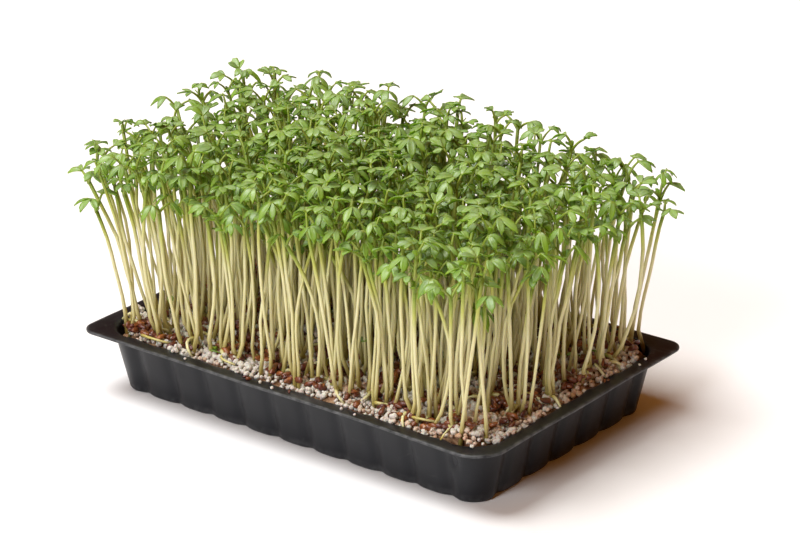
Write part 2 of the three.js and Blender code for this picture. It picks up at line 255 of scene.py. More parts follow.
def placeCamera():
    azimuth, elevation, roll = (radians(camera[k]) for k in ("azimuth", "elevation", "roll"))
    away = cos(elevation)
    back = Vector((sin(azimuth) * away, -cos(azimuth) * away, sin(elevation)))
    level = (-back).cross(Vector((0, 0, 1))).normalized()
    top = level.cross(-back)
    right = level * cos(roll) + top * sin(roll)
    up = top * cos(roll) - level * sin(roll)
    data = bpy.data.cameras.new("camera")
    data.lens = camera["lens"]
    data.sensor_width = camera["sensor"]
    data.clip_start = 0.01
    viewer = addObject("camera", data)
    place = (back * camera["distance"] + right * camera["right"] + up * camera["up"]) * mm
    viewer.matrix_world = Matrix.Translation(place) @ Matrix((right, up, back)).transposed().to_4x4()
    bpy.context.scene.camera = viewer


placeCamera()

# Studio: a white floor, a broad cool light overhead on the left, one from the front, and a warm dim fill

studio = {
    "floorColour": (0.95, 0.95, 0.95),
    "lights": [
        # name, direction it comes from, angle, strength, colour
        ("overhead", (-0.31, -0.18, 0.93), 32.0, 3.35, (0.96, 0.985, 1.0)),
        ("front", (0.02, -0.84, 0.55), 20.0, 1.65, (0.94, 0.975, 1.0)),
    ],
    "skyLow": (0.12, 0.028, 0.002), "skyHigh": (0.30, 0.125, 0.028), "skyBand": (0.3, 0.8),
    "skyStrength": 1.0,
}


def buildStudio():
    bm = bmesh.new()
    bmesh.ops.create_grid(bm, x_segments=1, y_segments=1, size=4)
    floor = addObject("floor", meshFrom("floor", bm))
    finish = {"Roughness": 0.55, "Base Color": studio["floorColour"]}
    floor.data.materials.append(newMaterial("white floor", finish)[0])
    for name, direction, angle, strength, colour in studio["lights"]:
        data = bpy.data.lights.new(name, "SUN")
        data.energy, data.angle, data.color = strength, radians(angle), colour
        light = addObject(name, data)
        light.rotation_euler = Vector(direction).to_track_quat("Z", "Y").to_euler()
    world = bpy.data.worlds.new("studio")
    world.use_nodes = True
    tree = world.node_tree
    direction = addNode(tree, "ShaderNodeTexCoord").outputs["Generated"]
    height = ranged(tree, splitAxes(tree, direction)["Z"], *studio["skyBand"])
    sky = blend(tree, height, studio["skyLow"], studio["skyHigh"])
    feed(tree, tree.nodes["Background"], {"Color": sky, "Strength": studio["skyStrength"]})
    bpy.context.scene.world = world
    bpy.context.scene.view_settings.view_transform = "Standard"


buildStudio()
print("camera and studio placed")

# Tray

tray = {
    "length": 130, "width": 86, "height": 17, "wall": 0.8, "flange": 0.7,
    "flangeCorners": (8.5, 4.5, 6.0, 4.5),  # front, right, back and left, each trimmed a little differently
    "topInset": 3.8, "footInset": 7.3, "footRadius": 1.3, "flutePitch": 10.9, "grooveDepth": 0.62,
    "grooveWidth": 1.6, "panelCrown": 0.3, "grooves": (10, 6),  # on long and on short sides
    "cornerRun": 2.8, "pointsPerPitch": 16, "cornerPoints": 16, "rim": 5, "wave": 0.5, "waveScale": 0.035,
    # a spot is its place along two axes and its reach along both
    "dent": (52.0, 11.4, 1.3, 2.2), "dentDepth": 1.3, "scrape": (6.5, -41.4, 4.5, 1.0),
    # the plastic's near-black carries a blue tint that is a painted reflection of the bluish floor
    "colour": (0.0038, 0.0048, 0.0078), "dust": (0.10, 0.10, 0.095), "worn": (0.16, 0.165, 0.17),
    "scratched": (0.24, 0.25, 0.25), "roughness": (0.36, 0.5),
}


def wallCore():
    # How far the straight walls run from the middle before the corners begin
    coreX = (tray["grooves"][0] - 1) / 2 * tray["flutePitch"] + tray["cornerRun"]
    return coreX, tray["width"] / 2 - (tray["length"] / 2 - coreX)


def trayStations():
    # One entry for each point of the outline: its side, how far along it, and how far out the flute is
    core, pitch = wallCore(), tray["flutePitch"]
    stations = []
    for quarter in range(4):
        half, grooves = core[quarter % 2], tray["grooves"][quarter % 2]
        steps = round(2 * half / pitch * tray["pointsPerPitch"])
        for step in range(steps):
            along = -half + 2 * half * step / steps
            nearest = clamp(round(along / pitch + (grooves - 1) / 2), 0, grooves - 1)
            off = abs(along - (nearest - (grooves - 1) / 2) * pitch)
            crown = tray["panelCrown"] * sin(min(1, off / pitch * 2) * pi / 2)
            groove = tray["grooveDepth"] * exp(-(off / tray["grooveWidth"]) ** 2)
            stations.append((quarter, step / steps, along, crown - groove, None))
        for step in range(tray["cornerPoints"]):
            stations.append((quarter, 1.0, half, tray["panelCrown"], step / tray["cornerPoints"]))
    return stations


def trayPoint(station, core, inset, flutes, flangeShare):
    # Between the fluted wall's outline and the flange's, at the same inset
    quarter, share, along, flute, turn = station
    sign = 1 if quarter < 2 else -1
    onLong = quarter % 2 == 0
    corners = tray["flangeCorners"]
    half = (tray["length"] / 2, tray["width"] / 2)
    side = half if onLong else (half[1], half[0])

    def turned(radius, x, y):
        angle = (quarter - 1 + turn) * pi / 2
        y = -y if onLong else y
        return Vector((x * sign + radius * cos(angle), y * sign + radius * sin(angle)))

    if turn is None:
        flangeAlong = mix(corners[quarter - 1] - side[0], side[0] - corners[quarter], share)
        reach = side[1] - inset
        spots = []
        for place, out in ((along, reach + flute * flutes), (flangeAlong, reach)):
            spots.append(Vector((place * sign, -out * sign) if onLong else (out * sign, place * sign)))
        return spots[0].lerp(spots[1], flangeShare)
    wall = turned(half[0] - inset - core[0] + flute * flutes, *core)
    flange = turned(corners[quarter] - inset, half[0] - corners[quarter], half[1] - corners[quarter])
    return wall.lerp(flange, flangeShare)


def trayRings():
    # From the underside, up the outside, over the flange and down the inside: inset, height, how much of the
    # flutes and of the flange's own outline it has, and wear
    top, under = tray["height"], tray["height"] - tray["flange"]
    foot, radius, inner = tray["footInset"], tray["footRadius"], tray["topInset"] + tray["wall"]
    rings = []
    for step in range(6):
        angle = pi / 2 * step / 5
        rings.append((foot + radius * (1 - sin(angle)) * 0.7, radius * (1 - cos(angle)), 1, 0, 0.3))
    for step in range(1, 13):
        share = step / 12
        z = mix(radius, under - 0.5, share)
        rings.append((mix(foot, tray["topInset"] + 0.1, share), z, 1 - 0.25 * share ** 3, 0, 0))
    rings += [
        (tray["topInset"] - 0.15, under - 0.12, 0.6, 0, 0), (tray["topInset"] - 0.6, under, 0.4, 0.1, 0),
        (1.6, under, 0.1, 0.6, 0), (0.3, under, 0, 1, 0.3), (0.05, under + 0.1, 0, 1, 0.8),
        (0.0, under + tray["flange"] / 2, 0, 1, 1), (0.05, top - 0.1, 0, 1, 1), (0.28, top, 0, 1, 0.8),
        (0.9, top - 0.02, 0, 1, 0.1), (2.0, top - 0.07, 0, 0.75, 0), (3.0, top - 0.12, 0.25, 0.35, 0),
        (inner - 0.75, top - 0.2, 0.6, 0.1, 0), (inner - 0.3, top - 0.4, 0.8, 0, 0.15),
        (inner, top - 0.9, 0.95, 0, 0), (inner + 0.2, top - 1.8, 1, 0, 0),
        (foot + tray["wall"], tray["wall"] + 1.0, 1, 0, 0),
        (foot + tray["wall"] + 1.0, tray["wall"], 1, 0, 0),
    ]
    return rings


def nearSpot(a, b, spot):
    placeA, placeB, reachA, reachB = spot
    return exp(-((a - placeA) / reachA) ** 2 - ((b - placeB) / reachB) ** 2)


def strained(x, y, z):
    # The thin sheet isn't quite true: the flange waves a little, and the wall by the front corner is dented
    spot, rim = Vector((x, y, z)), tray["rim"]
    if z > tray["height"] - 1.5:
        outward = max(abs(x) - (tray["length"] / 2 - rim), abs(y) - (tray["width"] / 2 - rim), 0) / rim
        spot.z += outward * driftAt(x, y, tray["waveScale"], 3.1) * tray["wave"]
    if y < -30:  # the near wall
        spot.y += tray["dentDepth"] * nearSpot(x, z, tray["dent"])
    return spot


def scuffed(x, y, z, wear):
    # The near flange is scraped where it was handled
    return max(wear, nearSpot(x, y, tray["scrape"])) if z > tray["height"] - 0.5 else wear


def buildTray():
    core, stations = wallCore(), trayStations()
    bm = bmesh.new()
    stationLayer = bm.verts.layers.int.new("station")
    wearLayer = bm.verts.layers.float.new("wear")
    bmesh.ops.create_circle(bm, segments=len(stations), radius=1)
    bm.verts.ensure_lookup_table()
    for index, vert in enumerate(bm.verts):
        vert[stationLayer] = index
    verts, edges = list(bm.verts), list(bm.edges)
    for number, (inset, z, flutes, flangeShare, wear) in enumerate(trayRings()):
        if number:
            grown = bmesh.ops.extrude_edge_only(bm, edges=edges)["geom"]
            verts, lines = vertsAmong(grown), [part for part in grown if isinstance(part, bmesh.types.BMEdge)]
            fresh = set(verts)
            edges = [line for line in lines if fresh.issuperset(line.verts)]
        for vert in verts:
            x, y = trayPoint(stations[vert[stationLayer]], core, inset, flutes, flangeShare)
            vert.co = strained(x, y, z) * mm
            vert[wearLayer] = scuffed(x, y, z, wear)
    bmesh.ops.contextual_create(bm, geom=edges)
    bmesh.ops.contextual_create(bm, geom=[edge for edge in bm.edges if edge.is_boundary])
    bmesh.ops.recalc_face_normals(bm, faces=bm.faces)
    bm.verts.layers.int.remove(stationLayer)
    newPiece("fluted_tray", bm, [trayPlastic()], ["tray"])


def trayPlastic():
    material, tree = newMaterial("black tray plastic", {"Specular IOR Level": 0.30})
    wear = addNode(tree, "ShaderNodeAttribute", attribute_name="wear").outputs["Fac"]
    speckle, haze = mottle(tree, 1500.0, 0.6, 0.78), mottle(tree, 90.0, 0.4, 0.75)
    place = addNode(tree, "ShaderNodeTexCoord").outputs["Object"]
    stretched = addNode(tree, "ShaderNodeMapping", {
        "Vector": place, "Scale": (70.0, 2200.0, 700.0), "Rotation": (0.0, 0.0, 0.12),
    })
    streaks = addNode(tree, "ShaderNodeTexNoise", {
        "Vector": stretched.outputs["Vector"], "Scale": 1.0, "Detail": 2.0,
    })
    scratches = multiply(tree, ranged(tree, streaks.outputs["Fac"], 0.64, 0.72), mottle(tree, 60.0, 0.5, 0.7))
    # dust and scratches lie on the flange, which is the top millimetre
    onFlange = ranged(tree, splitAxes(tree, place)["Z"], 0.0162, 0.0166, 0.12)
    specks = multiply(tree, multiply(tree, speckle, onFlange), 0.5)
    # the base is the black plastic with its painted blue reflection
    dusty = blend(tree, specks, tray["colour"], tray["dust"])
    hazy = blend(tree, multiply(tree, multiply(tree, haze, onFlange), 0.12), dusty, tray["dust"])
    edge = multiply(tree, wear, mottle(tree, 420.0, 0.3, 0.7))
    worn = blend(tree, multiply(tree, edge, 0.75), hazy, tray["worn"])
    marks = multiply(tree, multiply(tree, scratches, onFlange), 0.8)
    return dress(material, {
        "Base Color": blend(tree, marks, worn, tray["scratched"]),
        "Roughness": ranged(tree, haze, 0.0, 1.0, *tray["roughness"]),
        "Normal": bumped(tree, mottle(tree, 2600.0, 0.2, 0.8), 0.00003, 0.6),
    })


buildTray()
print("tray built")

# Where the bunches stand and how their seedlings grow: the same seeded rule as in the CAD source

stand = {
    "columns": 10, "rows": 5, "halfLength": 55, "halfWidth": 32, "siteJitter": 1.2, "pairGap": 1.3,
    "leanLeft": 6.5, "leanRight": 2.5, "leanAcross": 3.5, "shortest": 36, "tallest": 50, "endDrop": 3,
    "stalk": 4.4, "leaflet": 6, "leafletWidth": 2.8, "sideShare": 0.86, "sideTurn": 0.92,
    "clearance": 1.5, "tries": 300, "level": 16.9, "heap": 1.3, "stray": 3.5, "bow": 1.4, "apart": (0.5, 4.5),
    "siteSeed": 77, "seed": 7, "kickHeight": 5, "sampleStart": 2, "sampleStep": 1.4,
    "leafStray": 0.25, "leafRise": (0.5, 1.15), "leafPitch": (0, 0.5), "leafDrop": (0.3, 0.8),
    "leafSize": (0.86, 1.06),
}


def surfaceLevel(x, y):
    outX, outY = x / (tray["length"] / 2), y / (tray["width"] / 2)
    return stand["level"] + stand["heap"] * (1 - outX ** 2) * (1 - outY ** 2)


def bunchSites():
    draw = seededDraws(stand["siteSeed"])
    jitter = stand["siteJitter"]
    sites = []
    for row in range(stand["rows"]):
        for column in range(stand["columns"]):
            stagger = -0.2 if row % 2 == 0 else 0.2
            x = (column / (stand["columns"] - 1) - 0.5) * 2 + (stagger * 2) / stand["columns"]
            y = (row / (stand["rows"] - 1) - 0.5) * 2
            siteX = clamp(x, -1, 1) * stand["halfLength"] + around(draw, jitter)
            sites.append((siteX, y * stand["halfWidth"] + around(draw, jitter)))
    return sites


def newSeedling(draw, habit, base, height, lean, kick=(0.0, 0.0), size=1):
    seedling = {
        "base": base, "height": height, "lean": lean, "kick": kick,
        "bow": (around(draw, habit["bow"]), around(draw, habit["bow"])),
        "azimuth": between(draw, 0, pi), "leaves": [],
    }
    for turn in (0, pi):
        seedling["leaves"].append({
            "azimuth": seedling["azimuth"] + turn + around(draw, habit["leafStray"]),
            "rise": between(draw, *habit["leafRise"]),
            "pitch": between(draw, *habit["leafPitch"]),
            "drop": between(draw, *habit["leafDrop"]),
            "size": size * between(draw, *habit["leafSize"]),
        })
    return seedling


def drawSeedling(draw, site, side):
    outX, outY = site[0] / stand["halfLength"], site[1] / stand["halfWidth"]
    base = (site[0], site[1] + side * stand["pairGap"], surfaceLevel(*site))
    height = between(draw, stand["shortest"], stand["tallest"]) - stand["endDrop"] * outX ** 2
    lean = stand["leanLeft"] if outX < 0 else stand["leanRight"]
    leanX = lean * outX ** 3 + around(draw, stand["stray"])
    leanY = stand["leanAcross"] * outY ** 3 + side * between(draw, *stand["apart"])
    return newSeedling(draw, stand, base, height, (leanX, leanY))


def stemPoint(seedling, t):
    lean, bow = 0.4 * t + 0.6 * t * t, sin(pi * t)
    x, y, z = seedling["base"]
    foot = max(0.0, 1 - t * seedling["height"] / stand["kickHeight"]) ** 2
    return Vector((
        x + seedling["lean"][0] * lean + seedling["bow"][0] * bow + seedling["kick"][0] * foot,
        y + seedling["lean"][1] * lean + seedling["bow"][1] * bow + seedling["kick"][1] * foot,
        z + seedling["height"] * t,
    ))


def leafHub(seedling, leaf):
    out = stand["stalk"] * leaf["size"] * cos(leaf["rise"])
    up = stand["stalk"] * leaf["size"] * sin(leaf["rise"])
    stalk = Vector((out * cos(leaf["azimuth"]), out * sin(leaf["azimuth"]), up))
    return stemPoint(seedling, 1) + stalk


def leafletPoint(hub, leaf, turn, u, v, finer=1.0):
    share = (1 if turn == 0 else stand["sideShare"]) * finer
    length = stand["leaflet"] * share * leaf["size"]
    halfWidth = (stand["leafletWidth"] * share * leaf["size"]) / 2
    angle = leaf["azimuth"] + turn
    out = length * u * cos(leaf["pitch"])
    rise = length * (u * sin(leaf["pitch"]) - leaf["drop"] * u * u)
    return hub + Vector((
        out * cos(angle) - halfWidth * v * sin(angle),
        out * sin(angle) + halfWidth * v * cos(angle),
        rise,
    ))


leafletTurns = (-stand["sideTurn"], 0, stand["sideTurn"])


def sampledPoints(seedling):
    points, z = [], stand["sampleStart"]
    while z < seedling["height"]:
        points.append(stemPoint(seedling, z / seedling["height"]))
        z += stand["sampleStep"]
    for leaf in seedling["leaves"]:
        hub, top = leafHub(seedling, leaf), stemPoint(seedling, 1)
        points += [hub, (hub + top) / 2]
        for turn in leafletTurns:
            points += [leafletPoint(hub, leaf, turn, u, 0) for u in (0.25, 0.5, 0.75, 1)]
            points += [leafletPoint(hub, leaf, turn, u, v) for u in (0.35, 0.6, 0.85) for v in (-0.9, 0.9)]
    return points


def treeOf(points):
    tree = KDTree(len(points))
    for index, point in enumerate(points):
        tree.insert(point, index)
    tree.balance()
    return tree


def growBunches(sites):
    draw = seededDraws(stand["seed"])
    taken, tree, bunches = [], None, []

    def isClear(points):
        if tree is None:
            return True
        for point in points:
            for _, index, _ in tree.find_range(point, stand["clearance"] + 0.001):
                if (taken[index] - point).length < stand["clearance"]:
                    return False
        return True

    for site in sites:
        bunch = []
        for side in (-1, 1):
            for attempt in range(stand["tries"]):
                seedling = drawSeedling(draw, site, side)
                points = sampledPoints(seedling)
                if isClear(points):
                    taken += points
                    tree = treeOf(taken)
                    bunch.append(seedling)
                    break
        bunches.append(bunch)
    return bunches, taken


sites = bunchSites()
bunches, takenPoints = growBunches(sites)
print("seeded bunches", len(bunches), "with", sum(len(bunch) for bunch in bunches), "seedlings")

# More seedlings between those of the CAD model, so that the stand is as thick as a sown one

filling = {
    "columns": 31, "rows": 18, "halfLength": 57.0, "halfWidth": 35.4, "jitter": 2.2, "seed": 611,
    "tries": 10, "gap": 1.25, "shortest": 27, "tallest": 50.5,
    "endDrop": (3, 7), "lean": (9.5, 1.0),  # at the left end and at the right
    "openFrom": 47.0, "open": 0.5,  # the right end is sparser
    "size": (0.66, 1.0), "leanAcross": 3.0, "strayX": 5.0, "strayY": 4.5, "bow": 3.0, "kick": (0.2, 2.6),
    "sunk": 0.4, "wallGap": 1.6, "reach": 3.8, "rise": 1.8, "settleAfter": 2500, "runners": 0.3,
    "leafStray": 0.35, "leafRise": (0.35, 1.3), "leafPitch": (-0.35, 0.8), "leafDrop": (0.2, 0.95),
    "leafSize": (0.92, 1.08),
}


def drawFiller(draw, x, y):
    outX, outY = x / filling["halfLength"], y / filling["halfWidth"]
    size = between(draw, *filling["size"])
    height = mix(filling["shortest"], filling["tallest"], draw() ** 0.6)
    if outX < -0.9 or outY < -0.7 or outX > 0.7:
        # the outer ones carry their leaves high, so that the bare stems show below
        height = max(height, between(draw, 39 + 5 * clamp(outX) ** 2, 47 + 3 * clamp(outX) ** 2))
    end = 0 if outX < 0 else 1
    height -= filling["endDrop"][end] * outX ** 2
    turn, kick = between(draw, 0, 2 * pi), between(draw, *filling["kick"])
    leanX = filling["lean"][end] * outX ** 3 + around(draw, filling["strayX"])
    leanY = filling["leanAcross"] * outY ** 3 + around(draw, filling["strayY"])
    kicked = (kick * cos(turn), kick * sin(turn))
    base = (x, y, surfaceLevel(x, y) - filling["sunk"])
    return newSeedling(draw, filling, base, height, (leanX, leanY), kicked, size)


def outOfBounds(points):
    low, high = cadBox
    reach, rise = filling["reach"] * mm, filling["rise"] * mm
    return any(
        not low.x - reach < point.x * mm < high.x + reach
        or not low.y - reach < point.y * mm < high.y + reach
        or point.z * mm > high.z + rise for point in points
    )


def bestFiller(draw, x, y, trees):
    # Of a few tries, the one that comes least near to its neighbours
    best = None
    for attempt in range(filling["tries"]):
        seedling = drawFiller(draw, x, y)
        sampled = sampledPoints(seedling)
        if outOfBounds(sampled):
            continue
        score = 0.0
        for point in sampled:
            score += max(0.0, filling["gap"] - min(tree.find(point)[2] for tree in trees))
        if best is None or score < best[0]:
            best = (score, seedling, sampled)
        if score == 0:
            break
    return best


def growFillers(taken):
    draw = seededDraws(filling["seed"])
    grown, settled, recent = [], list(taken), []
    trees = [treeOf(settled)]  # one of the settled points and one of the latest, which is quick to make anew
    columns, rows, jitter = filling["columns"], filling["rows"], filling["jitter"]
    halfLength, halfWidth = filling["halfLength"], filling["halfWidth"]
    for row in range(rows):
        for column in range(columns):
            x = (column / (columns - 1) - 0.5) * 2 * halfLength + around(draw, 1) * jitter
            y = (row / (rows - 1) - 0.5) * 2 * halfWidth + around(draw, 1) * jitter
            x, y = clamp(x, -halfLength, halfLength), clamp(y, -halfWidth, halfWidth)
            if edgeReach(x, y) > -filling["wallGap"]:
                continue
            if x > filling["openFrom"] and draw() < filling["open"]:
                continue
            best = bestFiller(draw, x, y, trees)
            if best is None:
                continue
            grown.append(best[1])
            recent += best[2]
            trees = [trees[0], treeOf(recent)]
            if len(recent) > filling["settleAfter"]:
                settled += recent
                trees, recent = [treeOf(settled)], []
    return grown


def edgeReach(x, y):
    # How far a spot lies outside the tray's inner wall, negative inside it
    coreX, coreY = wallCore()
    radius = tray["length"] / 2 - tray["topInset"] - tray["wall"] - coreX
    return Vector((max(abs(x) - coreX, 0), max(abs(y) - coreY, 0))).length - radius


fillers = growFillers(takenPoints)
print("fillers", len(fillers))

# Seedlings

cress = {
    "stemSides": 6, "stemRings": 8, "footRadius": 0.58, "midRadius": 0.42, "topRadius": 0.45,
    "stalkSides": 6, "stalkRings": 5, "stalkRadius": 0.38, "neckRadius": 0.25,
    "bladeRows": (0.0, 0.17, 0.4, 0.66, 0.87, 1.0), "bladeWidths": (0.2, 0.54, 0.86, 0.93, 0.76, 0.42),
    "bladeThickness": 0.40, "bladeShare": 0.84, "sunk": 2.2, "thickness": (0.84, 1.12), "wobble": 0.35,
    "runnerLength": (2.5, 6.5), "roll": 0.4, "cup": (0.05, 0.45), "curl": 0.3,
    "stemColours": [
        (0.0, (0.34, 0.24, 0.04)), (0.06, (0.53, 0.45, 0.13)), (0.18, (0.77, 0.72, 0.40)),
        (0.62, (0.80, 0.77, 0.45)), (0.80, (0.49, 0.53, 0.10)), (0.93, (0.20, 0.30, 0.008)),
        (1.0, (0.14, 0.24, 0.005)),
    ],
    "leafDark": (0.076, 0.168, 0.0), "leafLight": (0.200, 0.340, 0.012), "leafUnder": (0.24, 0.38, 0.005),
    # the last of these is a pale painted sheen, laid on what faces up
    "leafRib": (0.31, 0.43, 0.06), "leafFoot": (0.24, 0.34, 0.005), "leafSheen": (0.39, 0.51, 0.31),
    "stemWarm": (0.48, 0.42, 0.09), "stemStreak": (0.75, 0.71, 0.36),
    "youngLeaves": (1, 4), "youngSize": (0.34, 0.62),
}


def tubeTemplate(name, sides, rings):
    bm = bmesh.new()
    bmesh.ops.create_cone(bm, cap_ends=True, segments=sides, radius1=1, radius2=1, depth=1)
    upright = [edge for edge in bm.edges if abs(edge.verts[0].co.z - edge.verts[1].co.z) > 0.5]
    bmesh.ops.subdivide_edges(bm, edges=upright, cuts=rings - 1)
    bmesh.ops.translate(bm, verts=bm.verts, vec=(0, 0, 0.5))
    return meshFrom(name, bm)


def bladeTemplate():
    # A leaflet before it is shaped: x runs across from -1 to 1, y from the stalk to the tip, z is its side
    rows = cress["bladeRows"]
    bm = bmesh.new()
    bmesh.ops.create_grid(bm, x_segments=4, y_segments=len(rows) - 1, size=1)
    for vert in bm.verts:
        vert.co.y = rows[round((vert.co.y + 1) / 2 * (len(rows) - 1))]
        vert.co.z = 1
    for vert in vertsAmong(bmesh.ops.extrude_face_region(bm, geom=bm.faces[:])["geom"]):
        vert.co.z = -1
    bmesh.ops.recalc_face_normals(bm, faces=bm.faces)
    return meshFrom("blade", bm)


def bladeWidth(u):
    rows = cress["bladeRows"]
    return cress["bladeWidths"][min(range(len(rows)), key=lambda i: abs(rows[i] - u))]


stemTemplate = tubeTemplate("stem", cress["stemSides"], cress["stemRings"])
stalkTemplate = tubeTemplate("stalk", cress["stalkSides"], cress["stalkRings"])
blade = bladeTemplate()


def stampTube(bm, template, centre, radius, tone, ripeness=1.0):
    # The centre line and the radius are functions of t, from 0 to 1
    def place(point):
        t = point.z
        heading = (centre(min(1, t + 0.02)) - centre(max(0, t - 0.02))).normalized()
        side = heading.cross(Vector((0.3, 0.9, 0.1))).normalized()
        other = heading.cross(side)
        return centre(t) + (other * point.x + side * point.y) * radius(t)
    stamp(bm, template, place, tone, 0, ripeness)


def stampSeedling(bm, seedling, draw):
    lead, wobbleX, wobbleY = draw(), around(draw, cress["wobble"]), around(draw, cress["wobble"])
    waves, thick = between(draw, 2, 5), between(draw, *cress["thickness"])

    def stemCentre(t):
        # its foot is below the granules
        sway, sunk = sin(t * waves * pi) * sin(t * pi), cress["sunk"] * (1 - t) ** 12
        return stemPoint(seedling, t) + Vector((wobbleX * sway, wobbleY * sway, -sunk))

    def stemRadius(t):
        if t < 0.25:
            return thick * mix(cress["footRadius"], cress["midRadius"], t / 0.25)
        return thick * mix(cress["midRadius"], cress["topRadius"], (t - 0.25) / 0.75)

    stampTube(bm, stemTemplate, stemCentre, stemRadius, (lead, 0.0, draw(), 1))
    if draw() < filling["runners"]:
        stampRunner(bm, stemPoint(seedling, 0.02), thick, draw, lead)
    for leaf in seedling["leaves"]:
        hub = leafHub(seedling, leaf)
        start = stemPoint(seedling, 1)
        out = Vector((cos(leaf["azimuth"]), sin(leaf["azimuth"]), 0))

        def stalkCentre(t):
            arch = sin(t * pi) * 0.35
            raised = start.lerp(hub, t) + Vector((0, 0, arch))
            return raised - out * arch * 0.3 - Vector((0, 0, 0.7 * (1 - t)))

        def stalkRadius(t):
            return thick * mix(cress["stalkRadius"], cress["neckRadius"], t)

        stampTube(bm, stalkTemplate, stalkCentre, stalkRadius, (lead, 0.5, draw(), 1))
        for turn in leafletTurns:
            stampBlade(bm, hub, leaf, turn, draw, lead)
    crown = stemPoint(seedling, 1)
    for number in range(int(between(draw, *cress["youngLeaves"]))):
        young = {
            "azimuth": seedling["azimuth"] + pi / 2 + number * 2.4 + around(draw, 0.5),
            "pitch": between(draw, 0.6, 1.3), "drop": between(draw, 0.1, 0.5),
            "size": between(draw, *cress["youngSize"]),
        }
        stampBlade(bm, crown, young, 0, draw, lead)


def stampRunner(bm, foot, thick, draw, lead):
    # A stem's foot often lies along the granules before it turns down into them
    heading, length, bend = draw() * 6.283, between(draw, *cress["runnerLength"]), around(draw, 1.6)

    def centre(t):
        angle = heading + bend * t
        lift = 0.55 * sin(t * pi) - 1.6 * t ** 4
        spot = Vector((cos(angle) * length * t, sin(angle) * length * t, lift + 0.5 * (1 - t)))
        return foot + spot

    stampTube(bm, stalkTemplate, centre, lambda t: thick * mix(0.56, 0.3, t), (lead, 0.0, draw(), 1), 0.3)


def stampBlade(bm, hub, leaf, turn, draw, lead):
    roll, cup, curl = around(draw, cress["roll"]), between(draw, *cress["cup"]), around(draw, cress["curl"])
    share = 1 if turn == 0 else stand["sideShare"]
    halfWidth = stand["leafletWidth"] * share * leaf["size"] / 2
    tone = (lead, 1.0, draw(), 1)

    def place(point):
        a, u, side = point.x, point.y, point.z
        wide = bladeWidth(u)
        tip = 0.11 * a * a * clamp((u - 0.7) / 0.3) ** 1.5
        bend = curl * u * u * 0.25
        spot = leafletPoint(hub, leaf, turn, u - tip, a * wide + bend, cress["bladeShare"])
        fold = cup * a * a * wide * halfWidth * 0.6 - roll * a * wide * halfWidth
        groove = -0.12 * (1 - abs(a)) * sin(u * pi)
        thin = cress["bladeThickness"] / 2 * (1 - 0.55 * a * a)
        return spot + Vector((0, 0, fold + groove + side * thin))
    stamp(bm, blade, place, tone, material=1)


def stemMaterial():
    material, tree = newMaterial("cress stem", {
        "Roughness": 0.42, "Subsurface Weight": 0.25, "Subsurface Scale": 0.0012,
        "Subsurface Radius": (1.0, 0.8, 0.3), "Coat Roughness": 0.2,
    })
    tone = toneParts(tree)
    # a leaf stalk, whose green part is 0.5, takes the green end of the ramp
    greener = addNode(tree, "ShaderNodeMath", {
        0: skinParts(tree)["Y"], 1: multiply(tree, tone["Green"], 1.9),
    }, operation="MAXIMUM")
    colour = rampColour(tree, greener.outputs[0], cress["stemColours"])
    warmed = blend(tree, multiply(tree, tone["Red"], 0.16), colour, cress["stemWarm"])
    streaks = multiply(tree, mottle(tree, 700.0), 0.12)
    return dress(material, {
        "Base Color": blend(tree, streaks, warmed, cress["stemStreak"]),
        "Normal": bumped(tree, mottle(tree, 2200.0, 0.2, 0.8), 0.00004, 0.5),
    })


def leafMaterial():
    material, tree = newMaterial("cress leaf", {
        "Roughness": 0.41, "Subsurface Weight": 0.25, "Subsurface Scale": 0.0012,
        "Subsurface Radius": (0.6, 1.0, 0.1), "Specular IOR Level": 0.62,
    })
    skin = skinParts(tree)
    shade = blend(tree, toneParts(tree)["Blue"], cress["leafDark"], cress["leafLight"])
    cloudy = blend(tree, multiply(tree, mottle(tree, 260.0), 0.5), shade, cress["leafLight"])
    across = addNode(tree, "ShaderNodeMath", {0: skin["X"]}, operation="ABSOLUTE").outputs[0]
    midrib = multiply(tree, ranged(tree, across, 0.0, 0.16, 1.0, 0.0), 0.35)
    ribbed = blend(tree, midrib, cloudy, cress["leafRib"])
    based = blend(tree, ranged(tree, skin["Y"], 0.0, 0.3, 0.8, 0.0), ribbed, cress["leafFoot"])
    # a pale painted sheen on what faces up, where the cool light from above falls, and a lighter, yellower
    # underside, partly its own paler colour and partly painted light shining through the leaf
    facing = splitAxes(tree, addNode(tree, "ShaderNodeNewGeometry").outputs["Normal"])["Z"]
    above, below = ranged(tree, facing, 0.45, 1.0), ranged(tree, facing, -0.1, -0.5)
    paintedSheen = multiply(tree, multiply(tree, above, mottle(tree, 420.0, 0.25, 0.75)), 0.6)
    sheened = blend(tree, paintedSheen, based, cress["leafSheen"])
    return dress(material, {
        "Base Color": blend(tree, multiply(tree, below, 0.7), sheened, cress["leafUnder"]),
        "Normal": bumped(tree, mottle(tree, 1600.0, 0.2, 0.8), 0.00006, 0.6),
    })


cressMaterials = [stemMaterial(), leafMaterial()]


def buildSeedlings():
    groups = [list(bunch) for bunch in bunches]
    for seedling in fillers:
        x, y, _ = seedling["base"]
        nearest = min(range(len(sites)), key=lambda i: (sites[i][0] - x) ** 2 + (sites[i][1] - y) ** 2)
        groups[nearest].append(seedling)
    for number, group in enumerate(groups, 1):
        draw = seededDraws(3000 + number)
        bm = emptyPiece()
        for seedling in group:
            stampSeedling(bm, seedling, draw)
        newPiece(f"cress_bunch_{number:02d}", bm, cressMaterials, [f"seedlings_{number}"])


buildSeedlings()
print("seedlings built")
